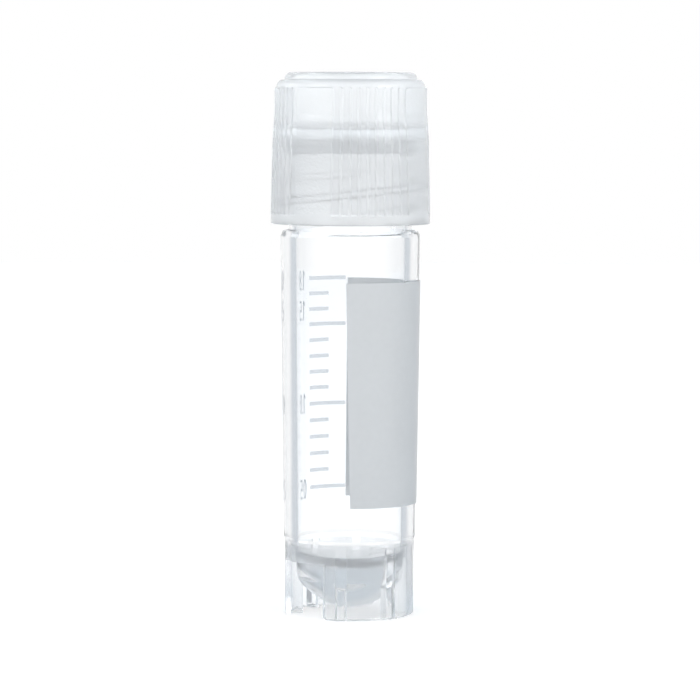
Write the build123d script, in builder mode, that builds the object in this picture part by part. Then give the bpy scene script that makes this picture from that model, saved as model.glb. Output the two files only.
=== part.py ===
"""Two-millilitre screw-cap cryovial: conical-bottomed tube on a ribbed foot, cap, seal and print."""
import os
from math import cos, pi, radians, sin, sqrt, tan

from build123d import *

# ---- driving dimensions, millimetres -------------------------------------------------------
TOTAL_HEIGHT = 48.4

# foot skirt and its ribs
SKIRT_R_BOTTOM = 5.76
SKIRT_R_TOP = 5.80
SKIRT_INNER_R_BOTTOM = 5.16
SKIRT_INNER_R_TOP = 5.12
SKIRT_TOP_Z = 6.70
GAP_ROOF_Z = 6.30
FOOT_EDGE_R = 0.25
RIB_WIDTH = 0.97
RIB_INNER_R = 4.17
RIB_ANGLES = (-8.2, 43.2, 94.6, 171.8, 223.2, 274.6)
SLOT_TOP_Z = 4.93
SLOT_SPANS = ((-84.0, -23.6), (96.0, 156.4))
SLOT_CORNER_R = 0.40
CUT_OVERSHOOT = 0.20
SKIN_OVERLAP = 0.04

# bowl under the tube, and the cone with a round tip that ends the bore
BOWL_TIP_Z = 0.62
BOWL_EDGE_R = 4.66
BOWL_EDGE_Z = 3.20
BOWL_TOP_R = 4.98
BORE_TIP_Z = 2.30
BORE_TIP_R = 3.20
BORE_CONE_ANGLE = 45.0
BORE_CONE_EDGE = 0.27
BORE_CONE_BLEND = 0.50
BORE_BOTTOM_R = 4.62

# tube
BODY_R_BOTTOM = 5.90
BODY_BOTTOM_Z = 7.02
SHOULDER_Z = 33.85
SHOULDER_EDGE_R = 0.10
SHOULDER_EDGE_Z = 0.22
SHOULDER_PEAK_WIDTH = 0.24
SHOULDER_PEAK_Z = 34.35
GROOVE_FLOOR_Z = 33.95
RIM_Z = 41.20
RIM_EDGE = 0.15
RIM_INNER_EDGE = 0.10
NECK_WALL = 0.55
GROOVE_FLOOR_WIDTH = 0.28
SHOULDER_PEAK_OUT = 0.42
SHOULDER_STEP = 0.77

# screw thread, one start, right-handed
THREAD_LEAD = 3.80
THREAD_BASE = 0.74
THREAD_CREST = 0.44
THREAD_DEPTH = 0.43
THREAD_ROOT = 0.25
NECK_THREAD_START = 10.0
NECK_THREAD_START_Z = 35.85
NECK_THREAD_TURN = 358.0
CAP_THREAD_DEPTH = 0.46
CAP_THREAD_START = 160.0
CAP_THREAD_TURN = 340.0
STOP_START = -100.0
STOP_END = 42.0
STOP_HEIGHT = 1.05
STOP_DRAFT = 0.10
STOP_TOP_Z_AT_ZERO = 35.19
STOP_PROUD = 0.34

# cap
CAP_BOTTOM_Z = 34.94
CAP_RIM_TOP_Z = 35.82
CAP_RIM_R = 7.11
CAP_RIM_EDGE = 0.10
CAP_PROUD = 0.09
CAP_CREST = ((0.10, 0.01), (3.38, -0.07), (6.48, -0.15), (9.18, -0.32), (11.13, -0.32))
CAP_SHOULDER_Z = 47.75
CAP_SHOULDER_EDGE_R = 0.55
CAP_RING_INSET = 1.19
CAP_RING_WALL = 0.82
CAP_RING_EDGE_R = 0.55
CAP_RING_INNER_EDGE = 0.15
CAP_PLATE_TOP_Z = 43.30
CAP_PLATE_Z = 42.50
CAP_SKIRT_WALL = 1.03
CAP_NECK_GAP = 0.60
CAP_MOUTH_FLARE = 0.22
CAP_MOUTH_CHAMFER_Z = 35.12
PANEL_CENTRE = -28.85
PANEL_SPAN = 31.5
RIB_GROUP_CENTRE = 16.15
CAP_RIBS_PER_GROUP = 8
CAP_RIB_PITCH = 6.64
CAP_RIB_SPAN = 2.30
CAP_GROUPS = 4

# seal
SEAL_SIDE_GAP = 0.13
SEAL_OVERHANG = 1.33
SEAL_FACE_GAP = 0.02

# radii of the closure, from the cap's rim inwards to the bore of the neck
CAP_RING_R = CAP_RIM_R - CAP_RING_INSET
CAP_POCKET_R = CAP_RING_R - CAP_RING_WALL
CAP_THREAD_BORE_R = CAP_RIM_R - CAP_SKIRT_WALL
CAP_MOUTH_R = CAP_THREAD_BORE_R + CAP_MOUTH_FLARE
NECK_R = CAP_THREAD_BORE_R - CAP_NECK_GAP
BORE_TOP_R = NECK_R - NECK_WALL
GROOVE_FLOOR_R = NECK_R + GROOVE_FLOOR_WIDTH
SHOULDER_PEAK_R = NECK_R + SHOULDER_PEAK_OUT
BODY_R_TOP = NECK_R + SHOULDER_STEP
STOP_R = NECK_R + STOP_PROUD
SEAL_OUTER_R = CAP_THREAD_BORE_R - SEAL_SIDE_GAP
SEAL_INNER_R = BORE_TOP_R - SEAL_OVERHANG

# print on the tube
PRINT_CUT_REACH = 9.0
PRINT_CUT_MARGIN = 1.0
INK_GAP = 0.03
INK_THICKNESS = 0.05
PATCH_BOTTOM_Z = 10.0
PATCH_TOP_Z = 29.9
PATCH_FRONT_X = (0.07, -0.385)
PATCH_BACK_X = (-0.445, -0.28)
TICK_START = 228.2
TICK_SHORT_END = 202.3
TICK_LONG_END = 184.6
TICK_HEIGHT = 0.34
LONG_TICK_ZS = (29.90, 25.73, 18.51, 10.92)
SHORT_TICK_ZS = (28.51, 27.09, 24.28, 22.83, 21.41, 19.97, 17.00, 15.50, 13.99, 12.48)
NUMBER_ANGLE = 245.1
NUMBER_WIDTH = 0.74
NUMBER_HEIGHT = 1.78
NUMBER_STROKE = 0.17
NUMBER_PITCH = 1.14
NUMBER_FLAG_WIDTH = 0.24
NUMBER_FLAG_DROP = 0.34
NUMBER_BOWL_HEIGHT = 1.02
NUMBER_ZS = (("1", "8", 29.75), ("1", "5", 27.00), ("1", "0", 18.60), ("0", "5", 10.86))


def body_r(z):
    """Outer radius of the tapered tube at height z."""
    share = (z - BODY_BOTTOM_Z) / (SHOULDER_Z - BODY_BOTTOM_Z)
    return BODY_R_BOTTOM + share * (BODY_R_TOP - BODY_R_BOTTOM)


def on_circle(radius, degrees):
    """Point at a radius, measured from the front (-Y) towards +X."""
    return (radius * sin(radians(degrees)), -radius * cos(radians(degrees)))


def sector(inner, outer, start, end):
    """Plan outline of a ring sector between two angles from the front."""
    middle = (start + end) / 2
    with BuildSketch(mode=Mode.PRIVATE) as plan:
        with BuildLine():
            Line(on_circle(inner, start), on_circle(outer, start))
            ThreePointArc(on_circle(outer, start), on_circle(outer, middle), on_circle(outer, end))
            Line(on_circle(outer, end), on_circle(inner, end))
            ThreePointArc(on_circle(inner, end), on_circle(inner, middle), on_circle(inner, start))
        make_face()
    return plan.sketch


def rounded_corner(degrees):
    """Waste outside the rounded lower corner of a skirt edge that faces smaller angles."""
    outward = (sin(radians(degrees)), -cos(radians(degrees)), 0)
    along = (cos(radians(degrees)), sin(radians(degrees)), 0)
    start = SKIRT_INNER_R_TOP - CUT_OVERSHOOT
    origin = (outward[0] * start, outward[1] * start, 0)
    middle = SLOT_CORNER_R * (1 - cos(pi / 4))
    with BuildSketch(Plane(origin=origin, x_dir=along, z_dir=outward), mode=Mode.PRIVATE) as waste:
        with BuildLine():
            Polyline(
                (0, SLOT_CORNER_R),
                (-CUT_OVERSHOOT, SLOT_CORNER_R),
                (-CUT_OVERSHOOT, -CUT_OVERSHOOT),
                (SLOT_CORNER_R, -CUT_OVERSHOOT),
                (SLOT_CORNER_R, 0),
            )
            ThreePointArc((SLOT_CORNER_R, 0), (middle, middle), (0, SLOT_CORNER_R))
        make_face()
    return extrude(waste.sketch, amount=SKIRT_R_TOP - start + CUT_OVERSHOOT, mode=Mode.PRIVATE)


def radial_plane(degrees):
    """Plane through the axis: local X points outwards at the angle, local Y points up."""
    outward = (sin(radians(degrees)), -cos(radians(degrees)), 0)
    normal = (-cos(radians(degrees)), -sin(radians(degrees)), 0)
    return Plane(origin=(0, 0, 0), x_dir=outward, z_dir=normal)


def helix_at(start, z_start, turn, radius):
    """Right-handed helix beginning at an angle from the front."""
    path = Helix(THREAD_LEAD, THREAD_LEAD * turn / 360, radius)
    return Pos(0, 0, z_start) * Rot(0, 0, start - 90) * path


def ridge(root, crest, base, tip, start, z_start, turn):
    """Helical ridge of trapezoid section running from the root to the crest radius."""
    path = helix_at(start, z_start, turn, (root + crest) / 2)
    plane = radial_plane(start)
    with BuildSketch(plane, mode=Mode.PRIVATE) as section:
        with Locations((0, z_start)):
            Polygon((root, -base / 2), (crest, -tip / 2), (crest, tip / 2), (root, base / 2), align=None)
    return sweep(section.sketch, path=path, is_frenet=True, mode=Mode.PRIVATE)


def ink_film(low, high):
    """Thin conical film lying all round the tube between two heights."""
    skin = INK_GAP + INK_THICKNESS
    with BuildPart(mode=Mode.PRIVATE) as film:
        with BuildSketch(Plane.XZ):
            with BuildLine():
                Polyline(
                    (body_r(low) + INK_GAP, low),
                    (body_r(low) + skin, low),
                    (body_r(high) + skin, high),
                    (body_r(high) + INK_GAP, high),
                    close=True,
                )
            make_face()
        revolve(axis=Axis.Z)
    return film.part


def tick(height, end):
    """One curved graduation bar."""
    low = height - TICK_HEIGHT / 2
    high = height + TICK_HEIGHT / 2
    skin = INK_GAP + INK_THICKNESS
    with BuildSketch(radial_plane(end), mode=Mode.PRIVATE) as bar:
        with BuildLine():
            Polyline(
                (body_r(low) + INK_GAP, low),
                (body_r(low) + skin, low),
                (body_r(high) + skin, high),
                (body_r(high) + INK_GAP, high),
                close=True,
            )
        make_face()
    return revolve(bar.sketch, axis=Axis.Z, revolution_arc=TICK_START - end, mode=Mode.PRIVATE)


def loop(wide, tall):
    """Closed oval stroke of a numeral."""
    with BuildSketch(mode=Mode.PRIVATE) as ring:
        Ellipse(wide / 2, tall / 2)
        Ellipse(wide / 2 - NUMBER_STROKE, tall / 2 - NUMBER_STROKE, mode=Mode.SUBTRACT)
    return ring.sketch


def digit(name):
    """Numeral centred on the local origin."""
    wide = NUMBER_WIDTH
    tall = NUMBER_HEIGHT
    line = NUMBER_STROKE
    side = (wide - line) / 2
    top = tall / 2
    with BuildSketch(mode=Mode.PRIVATE) as glyph:
        if name == "1":
            stem = wide / 4
            Polygon(
                (stem, -top),
                (stem, top),
                (stem - line, top),
                (stem - line - NUMBER_FLAG_WIDTH, top - NUMBER_FLAG_DROP),
                (stem - line - NUMBER_FLAG_WIDTH, top - NUMBER_FLAG_DROP - line),
                (stem - line, top - line),
                (stem - line, -top),
                align=None,
            )
        if name == "0":
            add(loop(wide, tall))
        if name == "8":
            with Locations((0, (tall - line) / 4), (0, (line - tall) / 4)):
                add(loop(wide, (tall + line) / 2))
        if name == "5":
            bowl = NUMBER_BOWL_HEIGHT / 2 - top
            with Locations((0, bowl)):
                add(loop(wide, NUMBER_BOWL_HEIGHT))
            with Locations((-side, bowl)):
                Rectangle(wide - line, NUMBER_BOWL_HEIGHT / 2, mode=Mode.SUBTRACT)
            with Locations((-side, (top + bowl + NUMBER_BOWL_HEIGHT / 4) / 2)):
                Rectangle(line, top - bowl - NUMBER_BOWL_HEIGHT / 4)
            with Locations((0, top - line / 2)):
                Rectangle(wide, line)
    return glyph.sketch


def number(first, second, height):
    """Two numerals with a point between them, cut from a film on the tube's surface."""
    outward = (sin(radians(NUMBER_ANGLE)), -cos(radians(NUMBER_ANGLE)), 0)
    along = (cos(radians(NUMBER_ANGLE)), sin(radians(NUMBER_ANGLE)), 0)
    start = body_r(height) - PRINT_CUT_MARGIN
    origin = (outward[0] * start, outward[1] * start, height)
    plane = Plane(origin=origin, x_dir=along, z_dir=outward)
    with BuildSketch(plane, mode=Mode.PRIVATE) as text:
        with Locations((-NUMBER_PITCH / 2, 0)):
            add(digit(first))
        with Locations((NUMBER_PITCH / 2, 0)):
            add(digit(second))
        with Locations((0, -(NUMBER_HEIGHT - NUMBER_STROKE) / 2)):
            Rectangle(NUMBER_STROKE, NUMBER_STROKE)
    return extrude(text.sketch, amount=2 * PRINT_CUT_MARGIN, mode=Mode.PRIVATE)


# ---- vial: tube, threaded neck and skirted foot in one moulding -----------------------------
BOWL_SPHERE_R = (BOWL_EDGE_R**2 + (BOWL_EDGE_Z - BOWL_TIP_Z) ** 2) / (2 * (BOWL_EDGE_Z - BOWL_TIP_Z))
BOWL_MID_R = BOWL_EDGE_R / 2
BOWL_MID_Z = BOWL_TIP_Z + BOWL_SPHERE_R - sqrt(BOWL_SPHERE_R**2 - BOWL_MID_R**2)
BORE_TIP_MID_R = BORE_TIP_R * sin(radians(BORE_CONE_ANGLE / 2))
BORE_TIP_MID_Z = BORE_TIP_Z + BORE_TIP_R * (1 - cos(radians(BORE_CONE_ANGLE / 2)))
BORE_CONE_R = BORE_TIP_R * sin(radians(BORE_CONE_ANGLE))
BORE_CONE_Z = BORE_TIP_Z + BORE_TIP_R * (1 - cos(radians(BORE_CONE_ANGLE)))
BORE_CONE_TOP_R = BORE_BOTTOM_R - BORE_CONE_EDGE
BORE_CONE_TOP_Z = BORE_CONE_Z + (BORE_CONE_TOP_R - BORE_CONE_R) * tan(radians(BORE_CONE_ANGLE))
BORE_BOTTOM_Z = BORE_CONE_TOP_Z + BORE_CONE_BLEND

with BuildPart() as vial:
    # outer form with the ring-shaped gap between bowl and skirt
    with BuildSketch(Plane.XZ):
        with BuildLine():
            ThreePointArc((0, BOWL_TIP_Z), (BOWL_MID_R, BOWL_MID_Z), (BOWL_EDGE_R, BOWL_EDGE_Z))
            Polyline(
                (BOWL_EDGE_R, BOWL_EDGE_Z),
                (BOWL_TOP_R, GAP_ROOF_Z),
                (SKIRT_INNER_R_TOP, GAP_ROOF_Z),
                (SKIRT_INNER_R_BOTTOM, FOOT_EDGE_R / 2),
                (SKIRT_INNER_R_BOTTOM + FOOT_EDGE_R / 2, 0),
                (SKIRT_R_BOTTOM - FOOT_EDGE_R, 0),
            )
            RadiusArc((SKIRT_R_BOTTOM - FOOT_EDGE_R, 0), (SKIRT_R_BOTTOM, FOOT_EDGE_R), -FOOT_EDGE_R)
            Polyline(
                (SKIRT_R_BOTTOM, FOOT_EDGE_R),
                (SKIRT_R_TOP, SKIRT_TOP_Z),
                (BODY_R_BOTTOM, BODY_BOTTOM_Z),
                (BODY_R_TOP, SHOULDER_Z),
                (BODY_R_TOP - SHOULDER_EDGE_R, SHOULDER_Z + SHOULDER_EDGE_Z),
                (SHOULDER_PEAK_R + SHOULDER_PEAK_WIDTH / 2, SHOULDER_PEAK_Z),
                (SHOULDER_PEAK_R - SHOULDER_PEAK_WIDTH / 2, SHOULDER_PEAK_Z),
                (GROOVE_FLOOR_R, GROOVE_FLOOR_Z),
                (NECK_R, GROOVE_FLOOR_Z),
                (NECK_R, RIM_Z - RIM_EDGE),
                (NECK_R - RIM_EDGE, RIM_Z),
                (0, RIM_Z),
                (0, BOWL_TIP_Z),
            )
        make_face()
    revolve(axis=Axis.Z)
    # two windows in the skirt
    for slot_start, slot_end in SLOT_SPANS:
        window = sector(SKIRT_INNER_R_TOP - SKIN_OVERLAP, SKIRT_R_TOP + CUT_OVERSHOOT, slot_start, slot_end)
        below = Pos(0, 0, -CUT_OVERSHOOT)
        extrude(below * window, amount=SLOT_TOP_Z + CUT_OVERSHOOT, mode=Mode.SUBTRACT)
        add(rounded_corner(slot_end), mode=Mode.SUBTRACT)
    # radial ribs of the star foot
    for angle in RIB_ANGLES:
        reach = SKIRT_R_BOTTOM - SKIN_OVERLAP
        turned = angle - 90
        with BuildSketch(Plane.XY):
            with Locations(Rot(0, 0, turned)):
                with Locations(((RIB_INNER_R + RIB_WIDTH / 2 + reach) / 2, 0)):
                    Rectangle(reach - RIB_INNER_R - RIB_WIDTH / 2, RIB_WIDTH)
                with Locations((RIB_INNER_R + RIB_WIDTH / 2, 0)):
                    Circle(RIB_WIDTH / 2)
        extrude(amount=GAP_ROOF_Z + SKIN_OVERLAP)
    # ramp that stops the cap, and the thread
    stop_z = STOP_TOP_Z_AT_ZERO - STOP_HEIGHT / 2 + THREAD_LEAD * STOP_START / 360
    add(
        ridge(
            NECK_R - THREAD_ROOT,
            STOP_R,
            STOP_HEIGHT,
            STOP_HEIGHT - STOP_DRAFT,
            STOP_START,
            stop_z,
            STOP_END - STOP_START,
        )
    )
    add(
        ridge(
            NECK_R - THREAD_ROOT,
            NECK_R + THREAD_DEPTH,
            THREAD_BASE,
            THREAD_CREST,
            NECK_THREAD_START,
            NECK_THREAD_START_Z,
            NECK_THREAD_TURN,
        )
    )
    # bore with its conical bottom
    with BuildSketch(Plane.XZ):
        with BuildLine():
            ThreePointArc((0, BORE_TIP_Z), (BORE_TIP_MID_R, BORE_TIP_MID_Z), (BORE_CONE_R, BORE_CONE_Z))
            Line((BORE_CONE_R, BORE_CONE_Z), (BORE_CONE_TOP_R, BORE_CONE_TOP_Z))
            Spline(
                (BORE_CONE_TOP_R, BORE_CONE_TOP_Z),
                (BORE_BOTTOM_R, BORE_BOTTOM_Z),
                tangents=((cos(radians(BORE_CONE_ANGLE)), sin(radians(BORE_CONE_ANGLE))), (0, 1)),
            )
            Polyline(
                (BORE_BOTTOM_R, BORE_BOTTOM_Z),
                (BORE_TOP_R, RIM_Z - RIM_INNER_EDGE),
                (BORE_TOP_R + RIM_INNER_EDGE, RIM_Z),
                (BORE_TOP_R + RIM_INNER_EDGE, RIM_Z + CUT_OVERSHOOT),
                (0, RIM_Z + CUT_OVERSHOOT),
                (0, BORE_TIP_Z),
            )
        make_face()
    revolve(axis=Axis.Z, mode=Mode.SUBTRACT)

# ---- screw cap: ribbed grip, raised ring round an open pocket, seal plate, thread -----------
crest = [(CAP_RIM_R + step, CAP_RIM_TOP_Z + rise) for rise, step in CAP_CREST]
land = [(radius - CAP_PROUD, height) for radius, height in crest]

with BuildPart() as screw_cap:
    with BuildSketch(Plane.XZ):
        with BuildLine():
            Polyline(
                (0, CAP_PLATE_Z),
                (CAP_THREAD_BORE_R, CAP_PLATE_Z),
                (CAP_THREAD_BORE_R, CAP_MOUTH_CHAMFER_Z),
                (CAP_MOUTH_R, CAP_BOTTOM_Z),
                (CAP_RIM_R - CAP_RIM_EDGE, CAP_BOTTOM_Z),
                (CAP_RIM_R, CAP_BOTTOM_Z + CAP_RIM_EDGE),
                (CAP_RIM_R, CAP_RIM_TOP_Z),
                *land,
                (land[-1][0], CAP_SHOULDER_Z - CAP_SHOULDER_EDGE_R),
            )
            shoulder_r = land[-1][0]
            RadiusArc(
                (shoulder_r, CAP_SHOULDER_Z - CAP_SHOULDER_EDGE_R),
                (shoulder_r - CAP_SHOULDER_EDGE_R, CAP_SHOULDER_Z),
                -CAP_SHOULDER_EDGE_R,
            )
            Polyline(
                (shoulder_r - CAP_SHOULDER_EDGE_R, CAP_SHOULDER_Z),
                (CAP_RING_R, CAP_SHOULDER_Z),
                (CAP_RING_R, TOTAL_HEIGHT - CAP_RING_EDGE_R),
            )
            RadiusArc(
                (CAP_RING_R, TOTAL_HEIGHT - CAP_RING_EDGE_R),
                (CAP_RING_R - CAP_RING_EDGE_R, TOTAL_HEIGHT),
                -CAP_RING_EDGE_R,
            )
            Polyline(
                (CAP_RING_R - CAP_RING_EDGE_R, TOTAL_HEIGHT),
                (CAP_POCKET_R + CAP_RING_INNER_EDGE, TOTAL_HEIGHT),
                (CAP_POCKET_R, TOTAL_HEIGHT - CAP_RING_INNER_EDGE),
                (CAP_POCKET_R, CAP_PLATE_TOP_Z),
                (0, CAP_PLATE_TOP_Z),
                (0, CAP_PLATE_Z),
            )
        make_face()
    revolve(axis=Axis.Z)
    # raised grip: wide panels and groups of narrow ribs
    grips = []
    for group in range(CAP_GROUPS):
        grips.append((PANEL_CENTRE + 90 * group, PANEL_SPAN))
        for index in range(CAP_RIBS_PER_GROUP):
            offset = (index - (CAP_RIBS_PER_GROUP - 1) / 2) * CAP_RIB_PITCH
            grips.append((RIB_GROUP_CENTRE + 90 * group + offset, CAP_RIB_SPAN))
    for centre, span in grips:
        with BuildSketch(radial_plane(centre - span / 2)):
            with BuildLine():
                Polyline(
                    (land[0][0] - CUT_OVERSHOOT, CAP_RIM_TOP_Z),
                    (land[0][0], CAP_RIM_TOP_Z),
                    *crest,
                    (land[-1][0] - CUT_OVERSHOOT, crest[-1][1]),
                    close=True,
                )
            make_face()
        revolve(axis=Axis.Z, revolution_arc=span)
    # thread inside the skirt
    half_pitch_down = (CAP_THREAD_START - NECK_THREAD_START) / 360 - 0.5
    cap_start_z = NECK_THREAD_START_Z + THREAD_LEAD * half_pitch_down
    add(
        ridge(
            CAP_THREAD_BORE_R + THREAD_ROOT,
            CAP_THREAD_BORE_R - CAP_THREAD_DEPTH,
            THREAD_BASE,
            THREAD_CREST,
            CAP_THREAD_START,
            cap_start_z,
            CAP_THREAD_TURN,
        )
    )

# ---- seal ring between the rim and the cap's plate ------------------------------------------
with BuildPart() as gasket:
    with BuildSketch(Plane.XY.offset(RIM_Z + SEAL_FACE_GAP)):
        Circle(SEAL_OUTER_R)
        Circle(SEAL_INNER_R, mode=Mode.SUBTRACT)
    extrude(amount=CAP_PLATE_Z - RIM_Z - 2 * SEAL_FACE_GAP)

# ---- print ----------------------------------------------------------------------------------
with BuildPart() as writing_patch:
    add(ink_film(PATCH_BOTTOM_Z, PATCH_TOP_Z))
    with BuildSketch(Plane.XZ):
        Polygon(
            (-PRINT_CUT_REACH, PATCH_TOP_Z + PRINT_CUT_MARGIN),
            (PATCH_FRONT_X[1], PATCH_TOP_Z + PRINT_CUT_MARGIN),
            (PATCH_FRONT_X[0], PATCH_BOTTOM_Z - PRINT_CUT_MARGIN),
            (-PRINT_CUT_REACH, PATCH_BOTTOM_Z - PRINT_CUT_MARGIN),
            align=None,
        )
    extrude(amount=PRINT_CUT_REACH, mode=Mode.SUBTRACT)
    with BuildSketch(Plane.XZ):
        Polygon(
            (-PRINT_CUT_REACH, PATCH_TOP_Z + PRINT_CUT_MARGIN),
            (PATCH_BACK_X[1], PATCH_TOP_Z + PRINT_CUT_MARGIN),
            (PATCH_BACK_X[0], PATCH_BOTTOM_Z - PRINT_CUT_MARGIN),
            (-PRINT_CUT_REACH, PATCH_BOTTOM_Z - PRINT_CUT_MARGIN),
            align=None,
        )
    extrude(amount=-PRINT_CUT_REACH, mode=Mode.SUBTRACT)

with BuildPart() as graduation_marks:
    for tick_z in LONG_TICK_ZS:
        add(tick(tick_z, TICK_LONG_END))
    for tick_z in SHORT_TICK_ZS:
        add(tick(tick_z, TICK_SHORT_END))

with BuildPart() as graduation_numbers:
    for first, second, number_z in NUMBER_ZS:
        add(number(first, second, number_z))
    add(ink_film(PATCH_BOTTOM_Z - PRINT_CUT_MARGIN, PATCH_TOP_Z + PRINT_CUT_MARGIN), mode=Mode.INTERSECT)

# ---- files ----------------------------------------------------------------------------------
os.makedirs("parts", exist_ok=True)
vial.part.label = "vial"
screw_cap.part.label = "screw_cap"
gasket.part.label = "gasket"
writing_patch.part.label = "writing_patch"
graduation_marks.part.label = "graduation_marks"
graduation_numbers.part.label = "graduation_numbers"
export_step(vial.part, "parts/vial.step")
export_step(screw_cap.part, "parts/screw_cap.step")
export_step(gasket.part, "parts/gasket.step")
export_step(writing_patch.part, "parts/writing_patch.step")
export_step(graduation_marks.part, "parts/graduation_marks.step")
export_step(graduation_numbers.part, "parts/graduation_numbers.step")
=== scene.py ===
"""Looks of the two-millilitre screw-cap cryovial: clear tube, milky cap, seal and print, on white."""

import math

import bpy
from mathutils import Matrix, Vector


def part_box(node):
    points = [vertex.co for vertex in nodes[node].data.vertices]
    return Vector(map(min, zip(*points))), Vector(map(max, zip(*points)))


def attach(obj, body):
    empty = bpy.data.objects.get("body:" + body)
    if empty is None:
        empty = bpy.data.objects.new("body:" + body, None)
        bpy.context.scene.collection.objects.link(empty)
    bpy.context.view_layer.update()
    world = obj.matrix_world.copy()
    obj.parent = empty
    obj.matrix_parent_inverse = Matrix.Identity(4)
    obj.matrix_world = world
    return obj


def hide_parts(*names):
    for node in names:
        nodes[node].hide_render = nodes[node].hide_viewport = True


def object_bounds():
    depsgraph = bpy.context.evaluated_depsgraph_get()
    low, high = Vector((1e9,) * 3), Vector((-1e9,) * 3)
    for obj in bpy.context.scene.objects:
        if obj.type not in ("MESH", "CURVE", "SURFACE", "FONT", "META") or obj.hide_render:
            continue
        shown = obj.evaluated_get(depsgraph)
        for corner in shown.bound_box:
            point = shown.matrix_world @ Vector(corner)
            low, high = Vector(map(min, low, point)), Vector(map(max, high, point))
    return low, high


MM = 0.001

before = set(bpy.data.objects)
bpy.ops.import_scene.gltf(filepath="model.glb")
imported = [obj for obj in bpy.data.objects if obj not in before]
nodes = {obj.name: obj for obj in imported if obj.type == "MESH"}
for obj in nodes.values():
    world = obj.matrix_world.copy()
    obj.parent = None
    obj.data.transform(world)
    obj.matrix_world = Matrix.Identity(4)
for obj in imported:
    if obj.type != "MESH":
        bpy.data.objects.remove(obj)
cad_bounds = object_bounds()


# ---- node helpers ---------------------------------------------------------------------------
class Graph:
    """A small wrapper that makes and links shader nodes."""

    def __init__(self, tree):
        self.tree = tree
        tree.nodes.clear()

    def node(self, kind, **settings):
        made = self.tree.nodes.new(kind)
        for name, value in settings.items():
            setattr(made, name, value)
        return made

    def link(self, source, target):
        self.tree.links.new(source, target)

    def make(self, kind, inputs, **settings):
        """A node whose inputs, by name or number, are set to a value or linked to an output."""
        made = self.node(kind, **settings)
        for key, value in inputs.items():
            if isinstance(value, (int, float, tuple)):
                made.inputs[key].default_value = value
            else:
                self.link(value, made.inputs[key])
        return made

    def shader(self, kind, inputs):
        return self.make(kind, inputs).outputs[0]

    def math(self, operation, first, second=0.0):
        return self.make("ShaderNodeMath", {0: first, 1: second}, operation=operation).outputs[0]

    def vector(self, operation, first, second=(0, 0, 0), output="Vector"):
        made = self.make("ShaderNodeVectorMath", {0: first, 1: second}, operation=operation)
        return made.outputs[output]

    def axis(self, vector, name):
        """One of the three parts of a vector."""
        return self.make("ShaderNodeSeparateXYZ", {0: vector}).outputs[name]

    def mix(self, share, first, second):
        """Shader between two shaders."""
        return self.shader("ShaderNodeMixShader", {0: share, 1: first, 2: second})

    def blend(self, share, first, second):
        """Colour between two colours."""
        return self.make("ShaderNodeMixRGB", {0: share, 1: first, 2: second}).outputs[0]

    def step(self, value, low, high, start=0.0, end=1.0):
        """A value that goes softly from start to end while another goes from low to high."""
        inputs = {"Value": value, "From Min": low, "From Max": high, "To Min": start, "To Max": end}
        return self.make("ShaderNodeMapRange", inputs, interpolation_type="SMOOTHSTEP").outputs[0]

    def noise(self, coords, scale, detail):
        inputs = {"Vector": coords.outputs["Object"], "Scale": scale, "Detail": detail}
        return self.make("ShaderNodeTexNoise", inputs).outputs["Fac"]

    def bump(self, height, strength, distance):
        inputs = {"Height": height, "Strength": strength, "Distance": distance}
        return self.make("ShaderNodeBump", inputs).outputs["Normal"]


def new_material(name):
    material = bpy.data.materials.new(name)
    material.use_nodes = True
    return material, Graph(material.node_tree)


def dress(obj, material):
    """Gives an object one material for all its faces."""
    obj.data.materials.clear()
    obj.data.materials.append(material)


def comes_from_outside(g, coords):
    """1 for a ray that comes from outside the tube, 0 for one that comes from its inside.

    Cycles turns the normal towards the side that a ray comes from.
    """
    outwards = g.vector("MULTIPLY", coords.outputs["Object"], (1, 1, 0))
    facing = g.vector("DOT_PRODUCT", outwards, coords.outputs["Normal"], "Value")
    return g.math("GREATER_THAN", facing, 0.0)


# ---- clear plastic --------------------------------------------------------------------------
POLYPROPYLENE_IOR = 1.49
CLEAR_TINT = (0.990, 0.995, 1.0, 1)
CLEAR_HAZE_TINT = (0.9, 0.92, 0.94, 1)
CLEAR_RIPPLE_SCALE = 260.0
CLEAR_RIPPLE_DETAIL = 3.0
CLEAR_RIPPLE_STRENGTH = 0.02
CLEAR_RIPPLE_HEIGHT = 0.02 * MM

# the foot is thicker and less polished than the tube, so it is rougher and cloudier: (foot, tube)
CLEAR_ROUGHNESS = (0.10, 0.03)
CLEAR_HAZE = (0.12, 0.015)
FOOT_FINISH_TOP = 6.4 * MM
TUBE_FINISH_LOW = 7.1 * MM


def foot_to_tube(g, height, foot, tube):
    """A value that goes from the foot's to the tube's between two heights."""
    return g.step(height, FOOT_FINISH_TOP, TUBE_FINISH_LOW, foot, tube)


def clear_polypropylene():
    material, g = new_material("clear_polypropylene")
    out = g.node("ShaderNodeOutputMaterial")
    coords = g.node("ShaderNodeTexCoord")
    height = g.axis(coords.outputs["Object"], "Z")
    ripple = g.noise(coords, CLEAR_RIPPLE_SCALE, CLEAR_RIPPLE_DETAIL)
    glass = g.shader("ShaderNodeBsdfPrincipled", {
        "Base Color": CLEAR_TINT,
        "Transmission Weight": 1.0,
        "IOR": POLYPROPYLENE_IOR,
        "Roughness": foot_to_tube(g, height, *CLEAR_ROUGHNESS),
        "Normal": g.bump(ripple, CLEAR_RIPPLE_STRENGTH, CLEAR_RIPPLE_HEIGHT),
    })
    haze = g.shader("ShaderNodeBsdfTranslucent", {"Color": CLEAR_HAZE_TINT})
    g.link(g.mix(foot_to_tube(g, height, *CLEAR_HAZE), glass, haze), out.inputs["Surface"])
    return material


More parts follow.
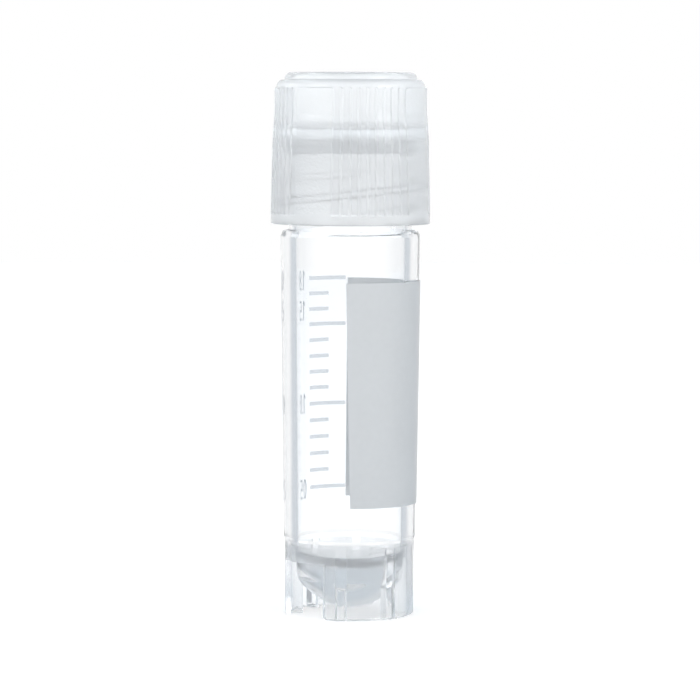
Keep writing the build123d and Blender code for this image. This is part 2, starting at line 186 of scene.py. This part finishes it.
# ---- milky plastic --------------------------------------------------------------------------
MILKY_TINT = (0.992, 0.997, 1.0, 1)
MILKY_ROUGHNESS = 0.14
MILKY_VEIL_TINT = (0.980, 0.992, 1.0, 1)
MILKY_VEIL = 0.31
MILKY_VEIL_BACK = 0.5
MILKY_DEPTH_TINT = (0.76, 0.82, 0.86, 1)
MILKY_DEPTH_DENSITY = 60.0
MILKY_GRAIN_SCALE = 4200.0
MILKY_GRAIN_DETAIL = 2.0
MILKY_GRAIN_HEIGHT = 0.06 * MM
MILKY_GRAIN_STRENGTH = 0.07
ORANGE_PEEL = "orange_peel"
ORANGE_PEEL_STRENGTH = 0.8


def milky_polypropylene():
    """Milky plastic; its grain is deeper where the mesh's orange_peel value is 1."""
    material, g = new_material("milky_polypropylene")
    out = g.node("ShaderNodeOutputMaterial")
    coords = g.node("ShaderNodeTexCoord")
    grain = g.noise(coords, MILKY_GRAIN_SCALE, MILKY_GRAIN_DETAIL)
    peel = g.node("ShaderNodeAttribute", attribute_name=ORANGE_PEEL).outputs["Fac"]
    strength = g.math("ADD", g.math("MULTIPLY", peel, ORANGE_PEEL_STRENGTH), MILKY_GRAIN_STRENGTH)
    glass = g.shader("ShaderNodeBsdfPrincipled", {
        "Base Color": MILKY_TINT,
        "Transmission Weight": 1.0,
        "IOR": POLYPROPYLENE_IOR,
        "Roughness": MILKY_ROUGHNESS,
        "Normal": g.bump(grain, strength, MILKY_GRAIN_HEIGHT),
    })
    haze = g.shader("ShaderNodeBsdfTranslucent", {"Color": MILKY_VEIL_TINT})
    milk = g.shader("ShaderNodeBsdfDiffuse", {"Color": MILKY_VEIL_TINT})
    g.link(g.mix(MILKY_VEIL, glass, g.mix(MILKY_VEIL_BACK, haze, milk)), out.inputs["Surface"])
    depth = {"Color": MILKY_DEPTH_TINT, "Density": MILKY_DEPTH_DENSITY}
    g.link(g.shader("ShaderNodeVolumeAbsorption", depth), out.inputs["Volume"])
    return material


# ---- silicone -------------------------------------------------------------------------------
SILICONE_TONES = ((0.66, 0.68, 0.70, 1), (0.70, 0.72, 0.74, 1))
SILICONE_ROUGHNESS = 0.45
SILICONE_THROUGH = 0.5
SILICONE_GRAIN_SCALE = 900.0
SILICONE_GRAIN_DETAIL = 2.0


def silicone():
    material, g = new_material("silicone")
    out = g.node("ShaderNodeOutputMaterial")
    coords = g.node("ShaderNodeTexCoord")
    grain = g.noise(coords, SILICONE_GRAIN_SCALE, SILICONE_GRAIN_DETAIL)
    tone = g.blend(grain, *SILICONE_TONES)
    body = g.shader("ShaderNodeBsdfPrincipled", {"Base Color": tone, "Roughness": SILICONE_ROUGHNESS})
    lit_behind = g.shader("ShaderNodeBsdfTranslucent", {"Color": tone})
    g.link(g.mix(SILICONE_THROUGH, body, lit_behind), out.inputs["Surface"])
    return material


# ---- inks -----------------------------------------------------------------------------------
INK_IOR = 1.45
INK_ROUGHNESS = 0.6
INK_GLOSS_ROUGHNESS = 0.3
INK_GRAIN_SCALE = 1800.0
INK_GRAIN_DETAIL = 4.0

# THROUGH: the shares of an ink's light that go through it, for a ray that comes from outside the tube
# and for one that comes from its inside; CLEAR: the share of all light that the ink doesn't touch
PATCH_TONES = ((0.795, 0.82, 0.84, 1), (0.835, 0.86, 0.88, 1))
PATCH_THROUGH = (0.66, 0.95)
PATCH_CLEAR = 0.0
SCALE_TONES = ((0.80, 0.84, 0.88, 1), (0.86, 0.90, 0.94, 1))
SCALE_THROUGH = (0.8, 0.8)
SCALE_CLEAR = 0.34
NUMBER_TONES = ((0.60, 0.66, 0.72, 1), (0.68, 0.74, 0.80, 1))
NUMBER_THROUGH = (0.7, 0.7)
NUMBER_CLEAR = 0.1


def ink(name, tones, through, clear):
    """Matt printed film with a light gloss at grazing angles, which lets part of the light through."""
    material, g = new_material(name)
    out = g.node("ShaderNodeOutputMaterial")
    coords = g.node("ShaderNodeTexCoord")
    tone = g.blend(g.noise(coords, INK_GRAIN_SCALE, INK_GRAIN_DETAIL), *tones)
    film = g.shader("ShaderNodeBsdfPrincipled", {"Base Color": tone, "Roughness": INK_ROUGHNESS})
    lit_behind = g.shader("ShaderNodeBsdfTranslucent", {"Color": tone})
    outside, inside = through
    share = g.math("ADD", g.math("MULTIPLY", comes_from_outside(g, coords), outside - inside), inside)
    gloss = g.shader("ShaderNodeBsdfGlossy", {"Roughness": INK_GLOSS_ROUGHNESS})
    graze = g.make("ShaderNodeFresnel", {"IOR": INK_IOR}).outputs[0]
    surface = g.mix(graze, g.mix(share, film, lit_behind), gloss)
    if clear:
        surface = g.mix(clear, surface, g.shader("ShaderNodeBsdfTransparent", {}))
    g.link(surface, out.inputs["Surface"])
    return material


# ---- cap: millimetres and degrees, heights from the table, radii from the axis ---------------
CAP_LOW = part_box("screw_cap")[0][2] / MM
CAP_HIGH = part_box("screw_cap")[1][2] / MM
CAP_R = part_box("screw_cap")[1][0] / MM

# rim and raised grip
SKIN_INSET = 0.01
OUTER_R = CAP_R - SKIN_INSET
RIM_TOP_Z = CAP_LOW + 0.88
RIM_EDGE_R = 0.10
CREST = ((RIM_TOP_Z, OUTER_R), (39.2, 7.04), (42.3, 6.96), (45.0, 6.79), (48.0, 6.79))
GRIP_PROUD = 0.12
GRIP_EDGE = 0.07
GRIP_FLARE = 0.14
GRIP_TOP_Z = 47.02
GRIP_GROUPS = 4
GROUP_ANGLE = 360 / GRIP_GROUPS
RIB_HALF = 0.14
RIB_PITCH = 6.64
RIBS_IN_GROUP = 8
RIB_GROUP_CENTRE = 16.15
PANEL_CENTRE = -28.85
PANEL_HALF = 1.87
PANEL_CORNER = 0.22
PANEL_MARGIN = 0.12

# shoulder, ring, pocket and plate
SHOULDER_Z = CAP_HIGH - 0.65
SHOULDER_CORNER = (0.55, 0.80)
SHOULDER_REACH = 0.50
RING_R = 5.92
RING_CORNER = (0.55, 0.58)
POCKET_R = 5.10
POCKET_EDGE = 0.16
POCKET_DRAFT = 0.02
PLATE_TOP_Z = 43.30
PLATE_Z = 42.50

# threaded bore
BORE_TOP_Z = PLATE_Z - 0.03
THREAD_BORE_R = 6.08
MOUTH_R = 6.30
MOUTH_EDGE = 0.02
MOUTH_CHAMFER_Z = 35.12
THREAD_LEAD = 3.80
THREAD_DEPTH = 0.44
THREAD_HALF_ROOT = 0.37
THREAD_HALF_CREST = 0.21
THREAD_START = 160.0
THREAD_TURN = 340.0
THREAD_START_Z = 35.533
THREAD_TAPER = 14.0

# columns of the skin: offsets in millimetres from a rib's middle and from a panel's edge
RIB_COLUMNS = (-0.22, -0.18, -0.14, -0.10, -0.05, 0, 0.05, 0.10, 0.14, 0.18, 0.22)
RIB_GROUP_MARGIN = 0.4
PANEL_EDGE_COLUMNS = (-0.08, -0.04, 0, 0.04, 0.08)
PANEL_HALF_COLUMNS = 8

# rows of the skin
PLATE_UNDER_RADII = (0.0, 1.5, 3.5, 5.0, 5.9, 6.05)
ABOVE_THREAD_SHARES = (1.0, 0.985, 0.9, 0.7, 0.5, 0.3, 0.12)
THREAD_OFFSETS = (0.40, 0.37, 0.34, 0.31, 0.28, 0.25, 0.21, 0.15)
BELOW_THREAD_SHARES = (0.3, 0.7, 1.0)
RIM_UNDER_WIDTH = 0.15
RIM_ROWS = (0.3, 0.6)
RIM_TOP_STEP = 0.04
RIM_TOP_STEPS = range(-5, 8)
GRIP_LOW = 0.45
GRIP_STEP = 0.6
GRIP_STEPS = range(18)
GRIP_TOP_STEP = 0.035
GRIP_TOP_STEPS = range(-12, 4)
SHOULDER_ROW_GAP = 0.02
RING_FOOT = ((0.06, 0.0), (0.01, 0.02))
POCKET_HEIGHTS = (46.6, 45.2, 44.2)
POCKET_FLOOR_EDGE = ((POCKET_DRAFT, 0.12), (0.08, 0.03), (0.20, 0.0))
PLATE_RADII = (4.0, 2.0, 0.0)
RIM_CORNER_STEPS = 4
SHOULDER_STEPS = 14
RING_STEPS = 10
POCKET_EDGE_STEPS = 5


def limited(value):
    """A value kept between 0 and 1."""
    return min(1.0, max(0.0, value))


def smooth(value):
    """Smooth step from 0 to 1."""
    value = limited(value)
    return value * value * (3 - 2 * value)


def crest_r(height):
    """Radius of the raised grip at a height."""
    for (low_z, low_r), (high_z, high_r) in zip(CREST, CREST[1:]):
        if height <= high_z:
            share = limited((height - low_z) / (high_z - low_z))
            return low_r + share * (high_r - low_r)
    return CREST[-1][1]


def from_centre(angle, centre):
    """Signed angle from the nearest of a set of centres, one to a group of the grip."""
    return (angle - centre + GROUP_ANGLE / 2) % GROUP_ANGLE - GROUP_ANGLE / 2


def grip(angle, height):
    """1 on a rib, a panel or the rim, 0 on the land between them, with soft edges."""
    arc = math.radians(1) * crest_r(height)
    in_group = from_centre(angle, RIB_GROUP_CENTRE)
    nearest = round(in_group / RIB_PITCH - 0.5) + 0.5
    nearest = min(RIBS_IN_GROUP / 2 - 0.5, max(0.5 - RIBS_IN_GROUP / 2, nearest))
    across = (in_group - nearest * RIB_PITCH) * arc
    rib = math.hypot(across, max(0.0, height - GRIP_TOP_Z + RIB_HALF)) - RIB_HALF
    side = abs(from_centre(angle, PANEL_CENTRE)) * arc - PANEL_HALF + PANEL_CORNER
    above = height - GRIP_TOP_Z + PANEL_CORNER
    panel = math.hypot(max(side, 0.0), max(above, 0.0)) + min(max(side, above), 0.0) - PANEL_CORNER
    raised = min(rib, panel)
    rim = height - RIM_TOP_Z
    near = max(GRIP_FLARE - abs(raised - rim), 0.0) / GRIP_FLARE
    return smooth(0.5 - (min(raised, rim) - near * near * GRIP_FLARE / 4) / GRIP_EDGE)


def corner(centre_r, centre_z, wide, tall, steps):
    """Quarter ellipse from its outermost point up to its top."""
    points = []
    for index in range(steps + 1):
        turn = math.pi / 2 * index / steps
        points.append((centre_r + wide * math.cos(turn), centre_z + tall * math.sin(turn)))
    return points


def cap_angles():
    """Column angles, close together at the edges of the ribs and panels."""
    arc = math.radians(1) * CREST[2][1]
    angles = set()
    for group in range(GRIP_GROUPS):
        ribs_centre = RIB_GROUP_CENTRE + GROUP_ANGLE * group
        for index in range(RIBS_IN_GROUP):
            centre = ribs_centre + (index - (RIBS_IN_GROUP - 1) / 2) * RIB_PITCH
            angles.update(centre + offset / arc for offset in RIB_COLUMNS)
            angles.add(centre + RIB_PITCH / 2)
        angles.add(ribs_centre - (RIBS_IN_GROUP + RIB_GROUP_MARGIN) / 2 * RIB_PITCH)
        centre = PANEL_CENTRE + GROUP_ANGLE * group
        for edge in PANEL_EDGE_COLUMNS:
            angles.update((centre - (PANEL_HALF + edge) / arc, centre + (PANEL_HALF + edge) / arc))
        between = range(1 - PANEL_HALF_COLUMNS, PANEL_HALF_COLUMNS)
        angles.update(centre + step * PANEL_HALF / arc / PANEL_HALF_COLUMNS for step in between)
    return sorted(angle % 360 for angle in angles)


def thread_height(offset):
    """Share of the thread's full depth at a height off its middle."""
    slope = THREAD_HALF_ROOT - THREAD_HALF_CREST
    return smooth((THREAD_HALF_ROOT - abs(offset)) / slope)


def bore_rows():
    """Rows of the threaded bore from top to bottom; the middle ones follow the thread."""
    rows = [("above", share) for share in ABOVE_THREAD_SHARES]
    rows += [("thread", offset) for offset in THREAD_OFFSETS]
    rows.append(("thread", 0.0))
    rows += [("thread", -offset) for offset in reversed(THREAD_OFFSETS)]
    rows += [("below", share) for share in BELOW_THREAD_SHARES]
    return rows


def bore_point(kind, value, angle):
    """Radius and height of a point on the threaded bore."""
    along = (angle - THREAD_START) % 360
    if along <= THREAD_TURN:
        middle = THREAD_START_Z + THREAD_LEAD * along / 360
        ends = smooth(along / THREAD_TAPER) * smooth((THREAD_TURN - along) / THREAD_TAPER)
    else:
        back = (360 - along) / (360 - THREAD_TURN)
        middle = THREAD_START_Z + THREAD_LEAD * THREAD_TURN / 360 * back
        ends = 0.0
    if kind == "above":
        low = middle + THREAD_OFFSETS[0]
        return THREAD_BORE_R, low + (BORE_TOP_Z - low) * value
    if kind == "below":
        high = middle - THREAD_OFFSETS[0]
        return THREAD_BORE_R, high + (MOUTH_CHAMFER_Z - high) * value
    return THREAD_BORE_R - THREAD_DEPTH * ends * thread_height(value), middle + value


def wall_heights():
    """Heights of the rows up the outside, close together where ribs and panels start and end."""
    heights = [CAP_LOW + height for height in RIM_ROWS]
    heights += [RIM_TOP_Z + RIM_TOP_STEP * step for step in RIM_TOP_STEPS]
    heights += [RIM_TOP_Z + GRIP_LOW + GRIP_STEP * step for step in GRIP_STEPS]
    heights += [GRIP_TOP_Z + GRIP_TOP_STEP * step for step in GRIP_TOP_STEPS]
    return heights


def cap_rows():
    """Every row of the skin: under the plate, down the bore, up the outside and into the pocket."""
    rings = [(MOUTH_R - MOUTH_EDGE, CAP_LOW + 2 * MOUTH_EDGE), (MOUTH_R + MOUTH_EDGE, CAP_LOW)]
    rings.append((OUTER_R - RIM_EDGE_R - RIM_UNDER_WIDTH, CAP_LOW))
    rim = corner(OUTER_R - RIM_EDGE_R, -CAP_LOW - RIM_EDGE_R, RIM_EDGE_R, RIM_EDGE_R, RIM_CORNER_STEPS)
    rings += [(radius, -height) for radius, height in reversed(rim)]
    rows = [("ring", (radius, PLATE_Z)) for radius in PLATE_UNDER_RADII]
    rows += bore_rows()
    rows += [("ring", point) for point in rings]

    heights = wall_heights()
    rows += [("wall", (height,)) for height in heights]

    shoulder_r = CREST[-1][1] - GRIP_PROUD - SHOULDER_CORNER[0]
    shoulder = corner(shoulder_r, SHOULDER_Z - SHOULDER_CORNER[1], *SHOULDER_CORNER, SHOULDER_STEPS)
    rings = [point for point in shoulder if point[1] > heights[-1] + SHOULDER_ROW_GAP]
    rings += [(RING_R + out, SHOULDER_Z + up) for out, up in RING_FOOT]
    rings += corner(RING_R - RING_CORNER[0], CAP_HIGH - RING_CORNER[1], *RING_CORNER, RING_STEPS)
    edge_z = CAP_HIGH - POCKET_EDGE
    edge = corner(-POCKET_R - POCKET_EDGE, edge_z, POCKET_EDGE, POCKET_EDGE, POCKET_EDGE_STEPS)
    rings += [(-radius, height) for radius, height in reversed(edge)]
    rings += [(POCKET_R - POCKET_DRAFT, height) for height in POCKET_HEIGHTS]
    rings += [(POCKET_R - inset, PLATE_TOP_Z + up) for inset, up in POCKET_FLOOR_EDGE]
    rings += [(radius, PLATE_TOP_Z) for radius in PLATE_RADII]
    rows += [("ring", point) for point in rings]
    return rows


def cap_point(kind, values, angle):
    """Radius and height of a point of a row at an angle."""
    if kind == "ring":
        return values
    if kind == "wall":
        height = values[0]
        land = crest_r(height) - GRIP_PROUD
        if height > GRIP_TOP_Z - SHOULDER_REACH:
            rise = limited((height - (SHOULDER_Z - SHOULDER_CORNER[1])) / SHOULDER_CORNER[1])
            land -= SHOULDER_CORNER[0] * (1 - math.sqrt(1 - rise * rise))
        return land + GRIP_PROUD * grip(angle, height), height
    return bore_point(kind, values, angle)


def skin(name, angles, rows, point):
    """Closed skin of revolution with relief: each row is a ring of points, or one on the axis."""
    verts = []
    rings = []
    for kind, values in rows:
        if kind == "ring" and values[0] == 0.0:
            rings.append([len(verts)])
            verts.append((0.0, 0.0, values[1] * MM))
            continue
        ring = []
        for angle in angles:
            radius, height = point(kind, values, angle)
            turn = math.radians(angle)
            ring.append(len(verts))
            verts.append((radius * math.sin(turn) * MM, -radius * math.cos(turn) * MM, height * MM))
        rings.append(ring)
    faces = []
    count = len(angles)
    for low, high in zip(rings, rings[1:]):
        for index in range(count):
            after = (index + 1) % count
            if len(low) == 1:
                faces.append((low[0], high[after], high[index]))
            elif len(high) == 1:
                faces.append((low[index], low[after], high[0]))
            else:
                faces.append((low[index], low[after], high[after], high[index]))
    mesh = bpy.data.meshes.new(name)
    mesh.from_pydata(verts, [], faces)
    mesh.validate()
    mesh.shade_smooth()
    piece = bpy.data.objects.new(name, mesh)
    bpy.context.scene.collection.objects.link(piece)
    return piece


def on_panel(point):
    """True for a point on the outside of one of the four panels."""
    if not RIM_TOP_Z + PANEL_MARGIN < point.z < GRIP_TOP_Z - PANEL_MARGIN:
        return False
    if math.hypot(point.x, point.y) < crest_r(point.z) - GRIP_PROUD / 2:
        return False
    angle = math.degrees(math.atan2(point.x, -point.y))
    side = abs(from_centre(angle, PANEL_CENTRE)) * math.radians(1) * crest_r(point.z)
    return side < PANEL_HALF - PANEL_MARGIN


def make_cap():
    cap = skin("cap_shell", cap_angles(), cap_rows(), cap_point)
    dress(cap, milky_polypropylene())
    peel = cap.data.attributes.new(ORANGE_PEEL, "FLOAT", "POINT")
    peel.data.foreach_set("value", [float(on_panel(vert.co / MM)) for vert in cap.data.vertices])
    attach(cap, "cap")
    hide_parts("screw_cap")


# ---- studio: angles in degrees from the direction away from the camera, or above the table ---
BACKLIGHT_HALF_ANGLE = 36.0
BACKLIGHT_EDGE = 6.0
FRONT_HALF_ANGLE = 85.0
FRONT_EDGE = 15.0
CEILING_ANGLE = 45.0
CEILING_EDGE = 15.0
WHITE = (1.0, 1.0, 1.0, 1)
BACKLIGHT = WHITE
SIDE_WALLS = (0.62, 0.66, 0.70, 1)
FRONT_WALL = (1.44, 1.44, 1.44, 1)
CEILING = (0.42, 0.47, 0.52, 1)


def surroundings(g, direction):
    """Colour of the studio in a direction: white back, dimmer sides, bright front and dim ceiling."""
    level = g.vector("NORMALIZE", g.vector("MULTIPLY", direction, (1, 1, 0)))
    around = g.math("MULTIPLY", g.math("ADD", g.axis(level, "Y"), 1.0), 0.5)
    walls = g.make("ShaderNodeValToRGB", {0: around})
    stops = (
        (180.0 - FRONT_HALF_ANGLE + FRONT_EDGE, FRONT_WALL),
        (180.0 - FRONT_HALF_ANGLE - FRONT_EDGE, SIDE_WALLS),
        (BACKLIGHT_HALF_ANGLE + BACKLIGHT_EDGE, SIDE_WALLS),
        (BACKLIGHT_HALF_ANGLE - BACKLIGHT_EDGE, BACKLIGHT),
    )
    ramp = walls.color_ramp.elements
    while len(ramp) < len(stops):
        ramp.new(0.5)
    for element, (angle, colour) in zip(ramp, stops):
        element.position = (1 + math.cos(math.radians(angle))) / 2
        element.color = colour
    ceiling_low = math.sin(math.radians(CEILING_ANGLE - CEILING_EDGE))
    ceiling_high = math.sin(math.radians(CEILING_ANGLE + CEILING_EDGE))
    rise = g.step(g.axis(g.vector("NORMALIZE", direction), "Z"), ceiling_low, ceiling_high)
    return g.blend(rise, walls.outputs[0], CEILING)


def sees_background(g):
    """1 for the camera's own rays and for rays that only pass through plastic, 0 for all others."""
    path = g.node("ShaderNodeLightPath")
    unturned = g.math("LESS_THAN", path.outputs["Glossy Depth"], 0.5)
    passed = g.math("MULTIPLY", path.outputs["Is Transmission Ray"], unturned)
    return g.math("MAXIMUM", path.outputs["Is Camera Ray"], passed)


def set_world():
    world = bpy.data.worlds.new("studio")
    bpy.context.scene.world = world
    world.use_nodes = True
    g = Graph(world.node_tree)
    out = g.node("ShaderNodeOutputWorld")
    coords = g.node("ShaderNodeTexCoord")
    white = g.shader("ShaderNodeBackground", {"Color": WHITE})
    studio = g.shader("ShaderNodeBackground", {"Color": surroundings(g, coords.outputs["Generated"])})
    g.link(g.mix(sees_background(g), studio, white), out.inputs["Surface"])


FLOOR_R = 0.7
FLOOR_SIDES = 96
FLOOR_DROP = 0.02 * MM
FLOOR_PAINT = (0.8, 0.8, 0.8, 1)
FLOOR_GLOW = 0.38
# painted shade: the dim glow that reflected and refracted rays see on the floor under the foot
FLOOR_PAINTED_SHADE_UNDER_FOOT = (0.62, 0.69, 0.75, 1)
FLOOR_NEAR = 6 * MM
FLOOR_FAR = 30 * MM


def white_table():
    """White with the part's shadow for the camera; other rays see a painted studio glow and painted
    shade.
    """
    material, g = new_material("white_table")
    out = g.node("ShaderNodeOutputMaterial")
    coords = g.node("ShaderNodeTexCoord")
    place = coords.outputs["Object"]
    paint = g.shader("ShaderNodeBsdfDiffuse", {"Color": FLOOR_PAINT})
    glow = g.shader("ShaderNodeEmission", {"Strength": FLOOR_GLOW})
    seen = g.shader("ShaderNodeAddShader", {0: paint, 1: glow})
    # painted reflection: for reflected and refracted rays the floor glows in the studio's tones, set
    # by its place
    studio = g.shader("ShaderNodeEmission", {"Color": surroundings(g, place)})
    # painted shade under the foot, which gives way to the painted studio glow between FLOOR_NEAR and
    # FLOOR_FAR
    painted_shade_under_foot = g.shader("ShaderNodeEmission", {"Color": FLOOR_PAINTED_SHADE_UNDER_FOOT})
    clear_of_foot = g.step(g.vector("LENGTH", place, output="Value"), FLOOR_NEAR, FLOOR_FAR)
    painted_glow_and_shade = g.mix(clear_of_foot, painted_shade_under_foot, studio)
    g.link(g.mix(sees_background(g), painted_glow_and_shade, seen), out.inputs["Surface"])
    return material


def make_floor():
    turns = [2 * math.pi * index / FLOOR_SIDES for index in range(FLOOR_SIDES)]
    verts = [(FLOOR_R * math.cos(turn), FLOOR_R * math.sin(turn), 0) for turn in turns]
    mesh = bpy.data.meshes.new("table_top")
    mesh.from_pydata(verts, [], [tuple(range(FLOOR_SIDES))])
    floor = bpy.data.objects.new("table_top", mesh)
    bpy.context.scene.collection.objects.link(floor)
    floor.location.z = cad_bounds[0][2] - FLOOR_DROP
    dress(floor, white_table())


# name, metres to the right of the part, metres behind it, watts
LAMPS = (
    ("key", 0.50, -0.38, 1.1),
    ("fill", -0.47, -0.40, 0.8),
    ("rim_right", 0.60, 0.20, 0.4),
    ("rim_left", -0.60, 0.20, 1.0),
)
LAMP_SIZE = 0.3
LAMP_HEIGHT = 0.23
LAMP_AIM = Vector((0, 0, 0.025))


def add_lamps():
    for name, aside, behind, power in LAMPS:
        data = bpy.data.lights.new(name, "AREA")
        data.size = LAMP_SIZE
        data.energy = power
        lamp = bpy.data.objects.new(name, data)
        bpy.context.scene.collection.objects.link(lamp)
        lamp.location = (aside, behind, LAMP_HEIGHT)
        lamp.rotation_euler = (LAMP_AIM - lamp.location).to_track_quat("-Z", "Y").to_euler()


CAMERA_DISTANCE = 315 * MM
CAMERA_AIM = Vector((0, 0, 23.63 * MM))
CAMERA_TILT = math.radians(4.0)
CAMERA_ROLL = math.radians(0.2)
CAMERA_LENS = 181.5
CAMERA_NEAR = 10 * MM


def set_camera():
    data = bpy.data.cameras.new("camera")
    data.lens = CAMERA_LENS
    data.clip_start = CAMERA_NEAR
    camera = bpy.data.objects.new("camera", data)
    bpy.context.scene.collection.objects.link(camera)
    offset = Vector((0, -math.cos(CAMERA_TILT), math.sin(CAMERA_TILT)))
    place = CAMERA_AIM + offset * CAMERA_DISTANCE / math.cos(CAMERA_TILT)
    turn = (CAMERA_AIM - place).to_track_quat("-Z", "Y").to_matrix().to_4x4()
    camera.matrix_world = Matrix.Translation(place) @ turn @ Matrix.Rotation(CAMERA_ROLL, 4, "Z")
    bpy.context.scene.camera = camera


# light crosses many walls of clear plastic and scatters many times in the milky cap
CLEAR_BOUNCES = 96
SCATTER_BOUNCES = 48
INK_BOUNCES = 16


def set_light_paths():
    cycles = bpy.context.scene.cycles
    cycles.max_bounces = CLEAR_BOUNCES
    cycles.transmission_bounces = CLEAR_BOUNCES
    cycles.glossy_bounces = CLEAR_BOUNCES
    cycles.diffuse_bounces = SCATTER_BOUNCES
    cycles.transparent_max_bounces = INK_BOUNCES


# ---- the scene ------------------------------------------------------------------------------
dress(nodes["vial"], clear_polypropylene())
make_cap()
dress(nodes["gasket"], silicone())
dress(nodes["writing_patch"], ink("patch_ink", PATCH_TONES, PATCH_THROUGH, PATCH_CLEAR))
dress(nodes["graduation_marks"], ink("scale_ink", SCALE_TONES, SCALE_THROUGH, SCALE_CLEAR))
dress(nodes["graduation_numbers"], ink("number_ink", NUMBER_TONES, NUMBER_THROUGH, NUMBER_CLEAR))

set_world()
make_floor()
add_lamps()
set_camera()
set_light_paths()
bpy.context.scene.view_settings.view_transform = "Standard"
